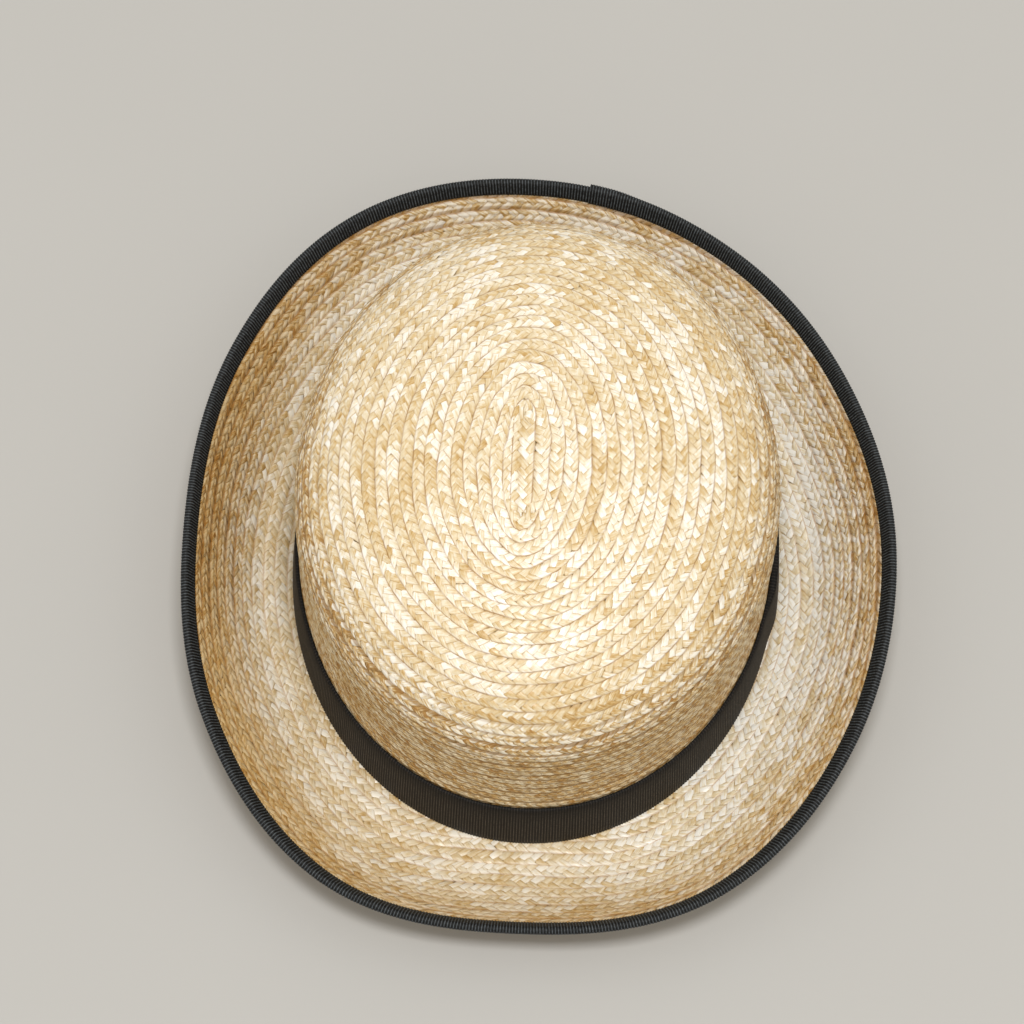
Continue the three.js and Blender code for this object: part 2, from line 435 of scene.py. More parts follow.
# Plait sewn in a spiral down a sheet, from one row to another
# An overlap of 1 lays a row's lower edge on top, as outside, and -1 its upper edge, as inside
def spiralPlait(name, sheet, rows, span, overlap, ageAndPaintedLightOf, keepOf, material, shapes, sink=0.0):
    turn = np.linspace(span[0], span[1], plait["spiralSteps"])
    middle = onSheet(sheet, turn, (turn - 0.5 * overlap) / rows)[0]
    travel = np.concatenate([[0], np.cumsum(np.linalg.norm(np.diff(middle, axis=0), axis=1))])
    count = int(travel[-1] / plait["pitch"]) - 1

    def place(x, y, h, arch):
        here = np.interp(x * plait["pitch"], travel, turn)
        share = y / plait["shown"]
        astray = sum(much * np.sin(2 * math.pi * rate * here) for rate, much in plait["wander"])
        down = (here - overlap * share + astray) / rows
        points, normals = onSheet(sheet, here, down)
        steep = smoothStep(1 - np.abs(normals[..., 2]), *plait["steepSpan"])
        bow = plait["bow"] + (plait["steepBow"] - plait["bow"]) * steep
        lift = plait["peak"] - bow * (np.minimum(y, plait["bowEnd"]) - plait["crest"]) ** 2 + h
        lift = lift + arch * (1 + (plait["steepArch"] - 1) * steep)
        lift = lift - sink * smoothStep(down, *brim["sinkSpan"])
        bearing, row = here.mean(axis=(1, 2)) % 1.0, down.mean(axis=(1, 2))
        return points + normals * lift[..., None], ageAndPaintedLightOf(bearing, row), steep, keepOf(bearing, row)

    mesh = plaitMesh(name, count, place, shapes)
    return addObject(name, mesh, material)


# The straight stretch that the spiral starts from, a whole width of plait with both its edges
def startPlait(name, inset, facing, material):
    count = int(crown["startLength"] / plait["pitch"])
    width = crown["startWidth"]
    taperFrom, taperTo = (count / 2 - straws for straws in crown["startTaper"])

    def onDome(x, y, h, arch):
        planX = crown["startX"] - facing * (y - width / 2) * plait["straw"]
        planY = crown["startY"] + (x - count / 2) * plait["pitch"]
        points, normals = domePoints(planX, planY, inset)
        ends = smoothStep(np.abs(x - count / 2), taperFrom, taperTo)
        lift = crown["startLift"] * (1 - ends) - crown["startSink"] * ends + h + arch
        return points + facing * normals * lift[..., None], np.zeros(len(x)), 0.0, np.ones(len(x))

    def onDomeTurned(x, y, h, arch):
        return onDome(count - 0.5 - x, width - y, h, arch)

    near = plaitMesh(name, count, onDome, strawShapes)
    far = plaitMesh(name + "_far", count, onDomeTurned, strawShapes[:1])
    bm = bmesh.new()
    bm.from_mesh(near)
    bm.from_mesh(far)
    bm.to_mesh(near)
    bm.free()
    return addObject(name, near, material)


def newMaterial(name):
    material = bpy.data.materials.new(name)
    material.use_nodes = True
    tree = material.node_tree
    tree.nodes.clear()
    output = tree.nodes.new("ShaderNodeOutputMaterial")
    shader = tree.nodes.new("ShaderNodeBsdfPrincipled")
    tree.links.new(shader.outputs["BSDF"], output.inputs["Surface"])
    return material, tree, shader


# Inputs are named, or numbered as i0, i1 and so on
def addNode(tree, kind, settings=None, **inputs):
    node = tree.nodes.new(kind)
    for key, value in (settings or {}).items():
        setattr(node, key, value)
    for key, value in inputs.items():
        socket = node.inputs[int(key[1:])] if key[0] == "i" and key[1:].isdigit() else node.inputs[key]
        if isinstance(value, bpy.types.NodeSocket):
            tree.links.new(value, socket)
        else:
            socket.default_value = value
    return node


def maths(tree, operation, first, second=0.0):
    return addNode(tree, "ShaderNodeMath", {"operation": operation}, i0=first, i1=second).outputs[0]


# A base that grows with a value
def grown(tree, base, value, much):
    return maths(tree, "ADD", base, maths(tree, "MULTIPLY", value, much))


# A value's distance from its middle, scaled
def around(tree, value, much, middle=0.5):
    return maths(tree, "MULTIPLY", maths(tree, "SUBTRACT", value, middle), much)


def colourRamp(tree, factor, stops):
    ramp = addNode(tree, "ShaderNodeValToRGB", i0=factor)
    elements = ramp.color_ramp.elements
    while len(elements) < len(stops):
        elements.new(0.5)
    for element, (place, colour) in zip(elements, stops):
        element.position = place
        element.color = (*colour, 1)
    return ramp.outputs[0]


def mixColour(tree, kind, factor, first, second):
    settings = {"data_type": "RGBA", "blend_type": kind}
    return addNode(tree, "ShaderNodeMix", settings, i0=factor, i6=first, i7=second).outputs[2]


# 0 at the first value and 1 at the second
def smoothMask(tree, value, none, full):
    low, high = min(none, full), max(none, full)
    node = addNode(tree, "ShaderNodeMapRange", {"interpolation_type": "SMOOTHSTEP"},
                   i0=value, i1=low, i2=high, i3=float(none > full), i4=float(none < full))
    return node.outputs[0]


# From the least share up to 1
def partMask(tree, value, low, high, least):
    return addNode(tree, "ShaderNodeMapRange", i0=value, i1=low, i2=high, i3=least, i4=1.0).outputs[0]


def addBump(tree, shader, strength, depth, height):
    bump = addNode(tree, "ShaderNodeBump", Strength=strength, Distance=depth, Height=height)
    tree.links.new(bump.outputs[0], shader.inputs["Normal"])


def newGroup(name, takes, gives):
    group = bpy.data.node_groups.new(name, "ShaderNodeTree")
    for title, kind in takes.items():
        group.interface.new_socket(name=title, in_out="INPUT", socket_type=kind)
    for title in gives:
        group.interface.new_socket(name=title, in_out="OUTPUT", socket_type="NodeSocketFloat")
    return group, group.nodes.new("NodeGroupInput"), group.nodes.new("NodeGroupOutput")


fibreLook = {  # a straw is 1 long and 1 wide here
    "lines": {"along": 0.8, "across": 7.0, "seed": 90.0, "scale": 1.0, "detail": 3.0},
    "patches": {"along": 1.7, "across": 1.4, "seed": 70.0, "scale": 1.3, "detail": 2.0},
    "sideFrom": 0.43,  # distances from the middle of the straw
    "endFrom": 0.44,
    "rimWidth": 0.07,
    "rounding": -4.0,
    "lean": 5.0,
}


# Fine lines along a straw and patches on it, masks of its long edges and of its ends, and its rounded,
# leaning top
def makeFibreGroup():
    takes = {"Place": "NodeSocketVector", "Seed": "NodeSocketFloat"}
    gives = ("Streak", "Blotch", "Sides", "Ends", "Bulge")
    group, entry, leave = newGroup("strawFibres", takes, gives)
    seed = entry.outputs["Seed"]
    parts = addNode(group, "ShaderNodeSeparateXYZ", i0=entry.outputs["Place"])
    along, across = parts.outputs["X"], parts.outputs["Y"]
    for name, grain in (("Streak", fibreLook["lines"]), ("Blotch", fibreLook["patches"])):
        stretched = addNode(group, "ShaderNodeCombineXYZ",
                            X=maths(group, "MULTIPLY", along, grain["along"]),
                            Y=maths(group, "MULTIPLY", across, grain["across"]),
                            Z=maths(group, "MULTIPLY", seed, grain["seed"]))
        noise = addNode(group, "ShaderNodeTexNoise", Vector=stretched.outputs[0],
                        Scale=grain["scale"], Detail=grain["detail"])
        group.links.new(noise.outputs[0], leave.inputs[name])
    for name, part, low in (("Sides", across, fibreLook["sideFrom"]), ("Ends", along, fibreLook["endFrom"])):
        away = maths(group, "ABSOLUTE", maths(group, "SUBTRACT", part, 0.5))
        group.links.new(smoothMask(group, away, low, low + fibreLook["rimWidth"]), leave.inputs[name])
    aside = maths(group, "SUBTRACT", across, 0.5)
    rounded = maths(group, "MULTIPLY", maths(group, "MULTIPLY", aside, aside), fibreLook["rounding"])
    lean = around(group, seed, fibreLook["lean"])
    group.links.new(grown(group, rounded, aside, lean), leave.inputs["Bulge"])
    return group


rowShadeLook = {  # places across a row for its painted shade, in straws from its outer edge
    "changeScale": 0.45,  # the painted shadow line at the edge is stronger and weaker along the row
    "changeDetail": 1.0,
    "changeFrom": 0.3,
    "changeTo": 0.65,
    "weakest": 0.35,
    "edgeFrom": 0.2,
    "edgeTo": 0.06,
    "dipFrom": 1.25,
    "dipTo": 1.5,
    "steepDip": 0.4,
    "grooveAt": 0.62,
    "grooveFrom": 0.2,
    "grooveTo": 0.05,
}


# Painted shade that follows a row: the shadow line at its outer edge, which fades or deepens where the sheet
# is steep, the shade in the dip where the row above covers it, which is broader there, and the shade in the
# groove along its middle, only there
def makeRowShadeGroup():
    takes = {"Row": "NodeSocketVector", "Fading": "NodeSocketFloat"}
    group, entry, leave = newGroup("rowShadeLines", takes, ("EdgeShadow", "TuckShade", "GrooveShade", "Steep"))
    parts = addNode(group, "ShaderNodeSeparateXYZ", i0=entry.outputs["Row"])
    across, steep, along = parts.outputs["X"], parts.outputs["Y"], parts.outputs["Z"]
    change = addNode(group, "ShaderNodeTexNoise", {"noise_dimensions": "1D"}, W=along,
                     Scale=rowShadeLook["changeScale"], Detail=rowShadeLook["changeDetail"])
    strength = partMask(group, change.outputs[0], rowShadeLook["changeFrom"], rowShadeLook["changeTo"],
                        rowShadeLook["weakest"])
    line = smoothMask(group, across, rowShadeLook["edgeFrom"], rowShadeLook["edgeTo"])
    edge = maths(group, "MULTIPLY", line, strength)
    lying = maths(group, "SUBTRACT", 1.0, maths(group, "MULTIPLY", steep, entry.outputs["Fading"]))
    group.links.new(maths(group, "MULTIPLY", edge, lying), leave.inputs["EdgeShadow"])
    dip = grown(group, across, steep, rowShadeLook["steepDip"])
    group.links.new(smoothMask(group, dip, rowShadeLook["dipFrom"], rowShadeLook["dipTo"]), leave.inputs["TuckShade"])
    apart = maths(group, "ABSOLUTE", maths(group, "SUBTRACT", across, rowShadeLook["grooveAt"]))
    grooveShade = smoothMask(group, apart, rowShadeLook["grooveFrom"], rowShadeLook["grooveTo"])
    group.links.new(maths(group, "MULTIPLY", grooveShade, steep), leave.inputs["GrooveShade"])
    group.links.new(steep, leave.inputs["Steep"])
    return group


# Cloudy change of tone over a piece, in object coordinates
def makeCloudGroup():
    group, entry, leave = newGroup("slowTone", {"Scale": "NodeSocketFloat"}, ("Cloud",))
    place = group.nodes.new("ShaderNodeTexCoord")
    noise = addNode(group, "ShaderNodeTexNoise", Vector=place.outputs["Object"],
                    Scale=entry.outputs["Scale"], Detail=4.0)
    group.links.new(noise.outputs[0], leave.inputs["Cloud"])
    return group


fibreGroup = makeFibreGroup()
rowShadeGroup = makeRowShadeGroup()
cloudGroup = makeCloudGroup()


def useGroup(tree, group, **inputs):
    return addNode(tree, "ShaderNodeGroup", {"node_tree": group}, **inputs)


strawLook = {
    "tones": (
        (0.0, (0.92, 0.89, 0.82)),
        (0.15, (0.86, 0.78, 0.63)),
        (0.36, (0.75, 0.63, 0.425)),
        (0.56, (0.66, 0.49, 0.255)),
        (0.8, (0.53, 0.33, 0.11)),
        (1.0, (0.38, 0.20, 0.055)),
    ),
    # Rims where straws meet: partly the straws' own edge colour, partly painted shade between them
    "rimAndShadeColour": (0.46, 0.27, 0.085, 1),
    # Painted shadow under a row's outer edge, and painted shade where the row above covers a row
    "edgeShadowColour": (0.33, 0.15, 0.026, 1),
    "tuckShadeColour": (0.3, 0.15, 0.038, 1),
    "cloudScale": 14.0,
    "drift": 0.2,
    "streak": 0.35,
    "streakSpread": 0.7,  # from straw to straw
    "blotch": 0.8,
    "underShade": 0.28,  # painted shade: a straw darkens from the end that comes up to the end that goes under its neighbour
    "underShadeAt": 0.4,
    "sideShare": 0.65,
    "endShare": 0.35,
    "brokenFrom": 0.35,  # the rims of straws are broken up
    "brokenTo": 0.6,
    "brokenLeast": 0.3,
    "tuckShadeShare": 0.15,
    "grooveShadeShare": 0.45,
    "steepTuckShade": 0.65,  # added where the sheet is steep: stronger painted shade in the dip and at the rims, painted light and shade in the straws' grain and tone, and more bump relief
    "steepSideShade": 0.3,
    "steepGrainShading": 1.6,
    "steepStrawShading": 0.7,
    "steepRelief": 1.2,
    "roughness": 0.28,
    "roughSpread": 0.27,
    "specular": 0.5,
    "streakRelief": 0.5,
    "bump": 0.7,
    "bumpDepth": 0.15 * mm,
}


def makeStraw(name, ageAndPaintedLightTint, edgeShadowShare, edgeShadowFading, paler):
    material, tree, shader = newMaterial(name)
    look = addNode(tree, "ShaderNodeAttribute", {"attribute_name": "straw"})
    fibre = addNode(tree, "ShaderNodeAttribute", {"attribute_name": "fibre"})
    row = addNode(tree, "ShaderNodeAttribute", {"attribute_name": "row"})
    parts = addNode(tree, "ShaderNodeSeparateColor", i0=look.outputs["Color"])
    ownTone, chance, seed = parts.outputs["Red"], parts.outputs["Green"], parts.outputs["Blue"]
    strands = useGroup(tree, fibreGroup, Place=fibre.outputs["Vector"], Seed=seed)
    lines = useGroup(tree, rowShadeGroup, Row=row.outputs["Vector"], Fading=edgeShadowFading)
    steep = lines.outputs["Steep"]
    cloud = useGroup(tree, cloudGroup, Scale=strawLook["cloudScale"])
    drift = around(tree, cloud.outputs[0], strawLook["drift"])
    streaky = grown(tree, strawLook["streak"], chance, strawLook["streakSpread"])
    streak = around(tree, strands.outputs["Streak"], streaky)
    blotch = around(tree, strands.outputs["Blotch"], strawLook["blotch"])
    along = addNode(tree, "ShaderNodeSeparateXYZ", i0=fibre.outputs["Vector"]).outputs["X"]
    # Painted shade towards the end where each straw goes under
    underShade = around(tree, along, strawLook["underShade"], strawLook["underShadeAt"])
    # On steep parts the grain and the tone from straw to straw vary more: painted light and shade for the
    # grazing light there
    grainShadingScale = grown(tree, 1.0, steep, strawLook["steepGrainShading"])
    grain = maths(tree, "MULTIPLY", maths(tree, "ADD", streak, blotch), grainShadingScale)
    grain = grown(tree, grain, around(tree, chance, strawLook["steepStrawShading"]), steep)
    uneven = maths(tree, "ADD", maths(tree, "ADD", drift, underShade), grain)
    tone = maths(tree, "ADD", maths(tree, "SUBTRACT", ownTone, paler), uneven)
    colour = colourRamp(tree, tone, strawLook["tones"])
    # Browner by the straw's age and by painted shade; the paler straw of painted light is set in its tone
    colour = mixColour(tree, "MULTIPLY", look.outputs["Alpha"], colour, (*ageAndPaintedLightTint, 1))
    # Rims where straws meet: partly the straws' own edge colour, partly painted shade between them; on steep
    # parts the painted shade is stronger and unbroken
    broken = partMask(tree, strands.outputs["Blotch"], strawLook["brokenFrom"], strawLook["brokenTo"],
                      strawLook["brokenLeast"])
    firm = maths(tree, "MAXIMUM", broken, steep)
    firmer = grown(tree, strawLook["sideShare"], steep, strawLook["steepSideShade"])
    sides = maths(tree, "MULTIPLY", strands.outputs["Sides"], firmer)
    ends = maths(tree, "MULTIPLY", strands.outputs["Ends"], strawLook["endShare"])
    rimAndShade = maths(tree, "MULTIPLY", maths(tree, "MAXIMUM", sides, ends), firm)
    colour = mixColour(tree, "MIX", rimAndShade, colour, strawLook["rimAndShadeColour"])
    # Painted shade where the row above covers this row, deeper on steep parts, and in the groove along steep
    # rows
    tuckShadeDepth = grown(tree, strawLook["tuckShadeShare"], steep, strawLook["steepTuckShade"])
    tuckShade = maths(tree, "MULTIPLY", lines.outputs["TuckShade"], tuckShadeDepth)
    grooveShade = maths(tree, "MULTIPLY", lines.outputs["GrooveShade"], strawLook["grooveShadeShare"])
    colour = mixColour(tree, "MIX", maths(tree, "MAXIMUM", tuckShade, grooveShade), colour, strawLook["tuckShadeColour"])
    # Painted shadow line along the row's outer edge
    edge = maths(tree, "MULTIPLY", lines.outputs["EdgeShadow"], edgeShadowShare)
    colour = mixColour(tree, "MIX", edge, colour, strawLook["edgeShadowColour"])
    tree.links.new(colour, shader.inputs["Base Color"])
    rough = grown(tree, strawLook["roughness"], chance, strawLook["roughSpread"])
    tree.links.new(rough, shader.inputs["Roughness"])
    shader.inputs["Specular IOR Level"].default_value = strawLook["specular"]
    relief = grown(tree, strands.outputs["Bulge"], strands.outputs["Streak"], strawLook["streakRelief"])
    relief = maths(tree, "MULTIPLY", relief, grown(tree, 1.0, steep, strawLook["steepRelief"]))
    addBump(tree, shader, strawLook["bump"], strawLook["bumpDepth"], relief)
    return material


coreShadeLook = {
    "cloudScale": 900.0,
    "tones": ((0.3, (0.40, 0.25, 0.10)), (0.7, (0.56, 0.38, 0.17))),
    "roughness": 0.7,
    "bump": 0.3,
    "bumpDepth": 0.1 * mm,
}


# The plain straw inside the walls, a darker brown that shows in the gaps between straws as painted shade
def makeUnderShadeStraw(name):
    material, tree, shader = newMaterial(name)
    cloud = useGroup(tree, cloudGroup, Scale=coreShadeLook["cloudScale"])
    colour = colourRamp(tree, cloud.outputs[0], coreShadeLook["tones"])
    tree.links.new(colour, shader.inputs["Base Color"])
    shader.inputs["Roughness"].default_value = coreShadeLook["roughness"]
    addBump(tree, shader, coreShadeLook["bump"], coreShadeLook["bumpDepth"], cloud.outputs[0])
    return material


ribbonLook = {
    "cloudScale": 1400.0,
    "fuzz": 0.9,
    "grooveTo": 0.6,
    "shadowFrom": 0.6,
    "shadowTo": 0.95,
    "specular": 0.3,
    "bump": 0.4,
    "bumpDepth": 0.08 * mm,
}


# A ribbed ribbon with painted shadow towards one edge: on the band, its top under the crown's overhang
def makeRibbon(name, grooveShade, litRidge, shadowTint, roughness):
    material, tree, shader = newMaterial(name)
    rib = addNode(tree, "ShaderNodeAttribute", {"attribute_name": "rib"})
    parts = addNode(tree, "ShaderNodeSeparateXYZ", i0=rib.outputs["Vector"])
    cloud = useGroup(tree, cloudGroup, Scale=ribbonLook["cloudScale"])
    height = maths(tree, "ADD", parts.outputs["X"], around(tree, cloud.outputs[0], ribbonLook["fuzz"]))
    # Rib ridges lighter and grooves darker: painted highlight on the ridges, painted shade in the grooves
    colour = colourRamp(tree, height, ((ribbonLook["grooveTo"], grooveShade), (1.0, litRidge)))
    # Painted shadow towards one edge
    dark = smoothMask(tree, parts.outputs["Z"], ribbonLook["shadowFrom"], ribbonLook["shadowTo"])
    colour = mixColour(tree, "MULTIPLY", dark, colour, (*shadowTint, 1))
    tree.links.new(colour, shader.inputs["Base Color"])
    shader.inputs["Roughness"].default_value = roughness
    shader.inputs["Specular IOR Level"].default_value = ribbonLook["specular"]
    addBump(tree, shader, ribbonLook["bump"], ribbonLook["bumpDepth"], cloud.outputs[0])
    return material


crownStraw = makeStraw("crownStraw", ageAndPaintedLightTint=(0.95, 0.85, 0.65), edgeShadowShare=0.8, edgeShadowFading=0.8, paler=0.0)
brimStraw = makeStraw("brimStraw", ageAndPaintedLightTint=(0.76, 0.61, 0.38), edgeShadowShare=0.65, edgeShadowFading=-0.5, paler=0.05)
liningStraw = makeStraw("liningStraw", ageAndPaintedLightTint=(0.7, 0.56, 0.36), edgeShadowShare=0.6, edgeShadowFading=0.8, paler=0.0)
underShadeStraw = makeUnderShadeStraw("underShadeStraw")
bandRibbon = makeRibbon("bandRibbon", grooveShade=(0.002, 0.0016, 0.0014), litRidge=(0.085, 0.07, 0.058),
                        shadowTint=(0.4, 0.4, 0.42), roughness=0.75)
bindingRibbon = makeRibbon("bindingRibbon", grooveShade=(0.002, 0.0025, 0.003), litRidge=(0.085, 0.098, 0.108),
                           shadowTint=(1, 1, 1), roughness=0.6)
print("materials ready")


shell = {"turnSteps": 144, "crownSteps": 60, "brimSteps": 36, "inset": 0.95 * mm}


def bentShell(name, outside, inside, steps, material):
    def bend(turn, step):
        first = step <= steps
        down = np.where(first, step, 2 * steps + 1 - step) / steps
        (outer, outward), (inner, inward) = onSheet(outside, turn, down), onSheet(inside, turn, down)
        sunk = np.where(first[:, None], outer - outward * shell["inset"], inner - inward * shell["inset"])
        return sunk, np.zeros((len(turn), 3))

    return weldedShell(name, shell["turnSteps"], 2 * steps + 2, bend, material)


crownOut, crownIn = crownSheet(0.0, 1), crownSheet(hat["wall"], -1)
brimTop = brimSheet(hat["wall"], 1, brim["inward"], brim["depth"])
brimBelow = brimSheet(brim["plaitUp"], -1, brim["inward"], brim["depth"])


def crownYellowing(bearing, down):
    return smoothStep(down, *crown["yellowSpan"])


brimAgeAndPaintedLightParts = {  # how brown the brim is beside the crown and at its edge, with what its sides and back add: browner on the wearer's right, partly its own colour and partly painted shade; paler at the back and on the left, painted light
    "inner": {"all": 0.26, "right": 0.02, "back": -0.3, "left": -0.6},
    "outer": {"all": 0.74, "right": 0.26, "left": -0.14, "back": -0.4},
    "outerFrom": {"all": 0.53, "right": -0.09},
    "outerTo": {"all": 1.0, "right": -0.22},
    "sideSpan": (0.2, 0.9),
    "backSpan": (0.4, 0.9),
}


# The brim is browner towards its edge and on the wearer's right, partly its own colour and partly painted
# shade where it turns from the lamp; it is paler at the back and palest beside the crown on the left,
# painted light where the crown keeps light off
def brimAgeAndPaintedLight(bearing, down):
    leftward, backward = np.cos(2 * math.pi * bearing), np.sin(2 * math.pi * bearing)
    shares = {
        "all": 1.0,
        "right": smoothStep(-leftward, *brimAgeAndPaintedLightParts["sideSpan"]),
        "left": smoothStep(leftward, *brimAgeAndPaintedLightParts["sideSpan"]),
        "back": smoothStep(backward, *brimAgeAndPaintedLightParts["backSpan"]),
    }

    def total(part):
        return sum(much * shares[way] for way, much in brimAgeAndPaintedLightParts[part].items())

    edge = smoothStep(down, total("outerFrom"), total("outerTo"))
    return total("inner") * (1 - edge) + total("outer") * edge


def aboveBand(bearing, down):
    return (down > 0) & (down < 1 - crown["bandCover"] / crown["sectionLength"])


def insideCrown(bearing, down):
    return (down > 0) & (down < crown["insideEnd"])


# From the headline to the binding
def onBrim(bearing, down):
    turn = np.arange(hat["turnSteps"] + 1) / hat["turnSteps"]
    out = np.linspace(0, 1, brim["lengthSteps"])[None, :] * alongSections("reach", turn[:, None])
    points = brimPoints(turn[:, None] + 0 * out, out, 0.0)[0]
    lengths = np.linalg.norm(np.diff(points, axis=1), axis=2).sum(axis=1)
    return (down > 1 - np.interp(bearing, turn, lengths) / brim["depth"]) & (down < brim["plaitEnd"])


crownPlait = spiralPlait("crown_plait", crownOut, crown["rows"], (crown["firstRow"], crown["lastRow"]), 1,
                         crownYellowing, aboveBand, crownStraw, strawShapes)
crownStart = startPlait("crown_start", 0.0, 1, crownStraw)
crownLining = spiralPlait("crown_inside", crownIn, crown["rows"],
                          (crown["insideFirstRow"], crown["rows"]), -1,
                          crownYellowing, insideCrown, liningStraw, liningShapes)
brimPlait = spiralPlait("brim_plait", brimTop, brim["rows"], (brim["firstRow"], brim["rows"] + 1), 1,
                        brimAgeAndPaintedLight, onBrim, brimStraw, strawShapes, brim["sink"])
brimLining = spiralPlait("brim_under", brimBelow, brim["rows"], (brim["underFirstRow"], brim["rows"]), -1,
                         brimAgeAndPaintedLight, onBrim, liningStraw, liningShapes, brim["sink"])
liningStart = startPlait("crown_inside_start", hat["wall"], -1, liningStraw)
crownShell = bentShell("crown_shell", crownOut, crownIn, shell["crownSteps"], underShadeStraw)
brimShell = bentShell("brim_shell", brimSheet(hat["wall"], 1, hat["wall"]), brimSheet(0.0, -1, hat["wall"]),
                      shell["brimSteps"], underShadeStraw)
print("straw ready")


band = {
    "foot": 0.8 * mm,
    "top": 28.8 * mm,
    "gap": 0.3 * mm,
    "thickness": 1.3 * mm,
    "ribs": 540,
    "ribDepth": 0.26 * mm,
    "samples": 4,
    "heightSteps": 8,
    "innerEvery": 3,
    "rollSteps": 5,
    "rollRise": 0.4,
    "lapFrom": -14,
    "lapTo": 14,
    "lapRamp": 0.25,
    "lapSwell": 1.4 * mm,
}


def lapShare(turn, trim):
    past = (turn * 360 - trim["lapFrom"] + 180) % 360 - 180
    share = past / (trim["lapTo"] - trim["lapFrom"])
    return np.where((share >= 0) & (share <= 1), smoothStep(share, 0, trim["lapRamp"]), 0)


def ribWave(turn, ribs):
    return 0.5 + 0.5 * np.cos(2 * math.pi * ribs * turn)


# Each section point holds its height, its distance out and how much of the ribs and the lap it takes
def makeBand():
    heights = np.linspace(band["foot"], band["top"], band["heightSteps"])
    half = band["thickness"] / 2
    roll = np.linspace(0, math.pi, band["rollSteps"])[1:-1]
    bulge = band["rollRise"] * half
    outer = [(height, band["thickness"], 1.0) for height in heights]
    topRoll = [(band["top"] + bulge * math.sin(a), half + half * math.cos(a), 0.5) for a in roll]
    inner = [(height, 0.0, 0.0) for height in heights[::-band["innerEvery"]]]
    footRoll = [(band["foot"] - bulge * math.sin(a), half - half * math.cos(a), 0.5) for a in roll]
    section = np.array(outer + topRoll + inner + footRoll)

    def bend(turn, step):
        height, out, share = section[step].T
        wave = ribWave(turn, band["ribs"])
        lap = lapShare(turn, band) * band["lapSwell"]
        offset = band["gap"] + out + share * (lap + (wave - 1) * band["ribDepth"])
        return wallPoints(turn, height, -offset), np.stack([wave, turn, height / band["top"]], axis=-1)

    return weldedShell("band_ribbon", band["ribs"] * band["samples"], len(section), bend, bandRibbon)


binding = {
    "width": 4.9 * mm,
    "skin": 0.5 * mm,
    "beyond": 1.3 * mm,  # how far the fold stands out past the straw's edge
    "tuckIn": 0.1 * mm,  # how far its inner side lies within the straw
    "innerFrom": 0.02,
    "ribs": 789,
    "ribDepth": 0.26 * mm,
    "samples": 4,
    "sideSteps": 4,
    "rollSteps": 9,
    "innerEvery": 4,
    "lapFrom": 75.3,
    "lapTo": 84,
    "lapRamp": 0.6,
    "lapSwell": 0.45 * mm,
    "shiftFrom": 58,
    "shiftRamp": 0.8,
    "shift": 0.6 * mm,
}


# Each section point holds its share of the width up to the fold, its side (1 top, -1 under, 0 fold), its
# angle in the fold and its layer (1 outer, 0 inner)
def makeBinding():
    side = np.linspace(0, 1, binding["sideSteps"])
    roll = np.radians(np.linspace(90, -90, binding["rollSteps"]))
    rows = [(share, 1, 0.0, 1.0) for share in side]
    rows += [(1.0, 0, angle, 1.0) for angle in roll[1:-1]]
    rows += [(share, -1, 0.0, 1.0) for share in side[::-1]]
    rows += [(share, -1, 0.0, 0.0) for share in (binding["innerFrom"], 1.0)]
    rows += [(1.0, 0, angle, 0.0) for angle in roll[::-binding["innerEvery"]]][1:-1]
    rows += [(share, 1, 0.0, 0.0) for share in (1.0, binding["innerFrom"])]
    section = np.array(rows)

    def bend(turn, step):
        share, way, fold, layer = section[step].T
        reach = alongSections("reach", turn)
        run = brimPoints(turn, reach, 0.0)[1][:, 2]
        wave = ribWave(turn, binding["ribs"])
        lapped = lapShare(turn, binding)
        past = (turn * 360 - binding["shiftFrom"]) / (binding["lapTo"] - binding["shiftFrom"])
        shifted = np.where((past > 0) & (past <= 1), smoothStep(past, 0, binding["shiftRamp"]), 0)
        skin = binding["skin"] + lapped * binding["lapSwell"] + (wave - 1) * binding["ribDepth"]
        half = hat["wall"] / 2
        radius = half + np.where(layer == 1, skin, -binding["tuckIn"])
        foldAt = binding["beyond"] - half - binding["skin"] + shifted * binding["shift"]
        along = foldAt - (1 - share) * (binding["width"] + foldAt)
        out = reach + along * run
        up = np.where(way == 0, half + radius * np.sin(fold), half + way * radius)
        beyond = np.where(way == 0, radius * np.cos(fold), 0)
        return brimPoints(turn, out, up, beyond)[0], np.stack([wave, turn, layer], axis=-1)

    turnSteps = binding["ribs"] * binding["samples"]
    return weldedShell("binding_ribbon", turnSteps, len(section), bend, bindingRibbon)


crownBand = makeBand()
brimBinding = makeBinding()

for piece, node, slotName in (
    (crownPlait, "crown", "straw"), (crownStart, "", "straw"), (crownShell, "", "straw"),
    (crownLining, "", "straw"), (liningStart, "", "straw"),
    (brimPlait, "brim", "straw"), (brimLining, "", "straw"), (brimShell, "", "straw"),
    (crownBand, "crown_band", "band_ribbon"), (brimBinding, "brim_binding", "binding_ribbon"),
):
    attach(piece, "root")
    if node:
        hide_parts(node)


studio = {
    "floorHalf": 3.0,
    "floorSteps": 8,
    "floorColour": (0.48, 0.475, 0.463),
    "floorShade": 0.97,
    "floorCloud": 3.0,
    "floorRoughness": 0.85,
    "worldColour": (1.0, 0.955, 0.87, 1),
    "worldStrength": 0.69,
    "lamps": [
        {"name": "key", "at": (0.04, -0.4, 2.2), "size": 0.45, "power": 27.8, "colour": (1.0, 0.99, 0.97)},
    ],
}


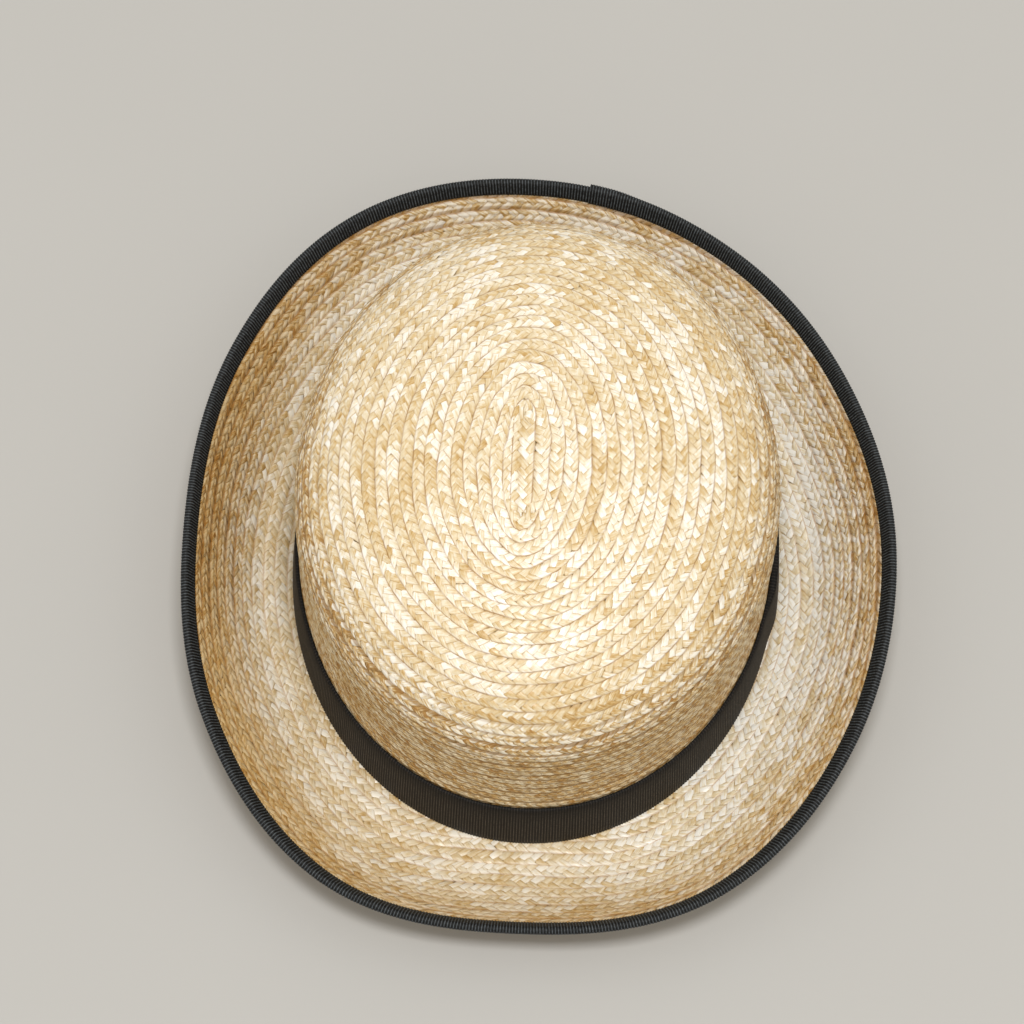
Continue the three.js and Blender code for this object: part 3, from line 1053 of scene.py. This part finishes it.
def makeFloor():
    bm = bmesh.new()
    steps = studio["floorSteps"]
    bmesh.ops.create_grid(bm, x_segments=steps, y_segments=steps, size=studio["floorHalf"])
    mesh = bpy.data.meshes.new("floor")
    bm.to_mesh(mesh)
    bm.free()
    material, tree, shader = newMaterial("paleFloor")
    cloud = useGroup(tree, cloudGroup, Scale=studio["floorCloud"])
    shaded = tuple(studio["floorShade"] * part for part in studio["floorColour"])
    colour = colourRamp(tree, cloud.outputs[0], ((0.3, shaded), (0.7, studio["floorColour"])))
    tree.links.new(colour, shader.inputs["Base Color"])
    shader.inputs["Roughness"].default_value = studio["floorRoughness"]
    addObject("floor", mesh, material)


def makeLamps():
    for lamp in studio["lamps"]:
        light = bpy.data.lights.new(lamp["name"], "AREA")
        light.energy = lamp["power"]
        light.size = lamp["size"]
        light.color = lamp["colour"]
        thing = bpy.data.objects.new(lamp["name"], light)
        thing.location = lamp["at"]
        thing.rotation_euler = Vector(lamp["at"]).to_track_quat("Z", "Y").to_euler()
        bpy.context.scene.collection.objects.link(thing)
    world = bpy.data.worlds.new("studio")
    world.use_nodes = True
    background = world.node_tree.nodes["Background"]
    background.inputs["Color"].default_value = studio["worldColour"]
    background.inputs["Strength"].default_value = studio["worldStrength"]
    bpy.context.scene.world = world


view = {
    "elevation": math.radians(66.27),
    "azimuth": math.radians(0.66),
    "roll": math.radians(1.98),
    "distance": 1.8,
    "angle": math.radians(11.5),
    "target": (-8.71 * mm, 7.06 * mm, 40 * mm),  # from the middle of the head oval
}


def makeCamera():
    flat, high = math.cos(view["elevation"]), math.sin(view["elevation"])
    along, aside = math.cos(view["azimuth"]), math.sin(view["azimuth"])
    back = Vector((aside * flat, -along * flat, high))
    level = Vector((along, aside, 0))
    rise = back.cross(level)
    right = level * math.cos(view["roll"]) + rise * math.sin(view["roll"])
    up = rise * math.cos(view["roll"]) - level * math.sin(view["roll"])
    target = Vector(view["target"]) + Vector((hat["midX"], hat["midY"], 0))
    camera = bpy.data.cameras.new("camera")
    camera.angle = view["angle"]
    thing = bpy.data.objects.new("camera", camera)
    turn = Matrix((right, up, back)).transposed().to_4x4()
    thing.matrix_world = Matrix.Translation(target + back * view["distance"]) @ turn
    bpy.context.scene.collection.objects.link(thing)
    bpy.context.scene.camera = thing


makeFloor()
makeLamps()
makeCamera()
bpy.context.scene.view_settings.view_transform = "Standard"
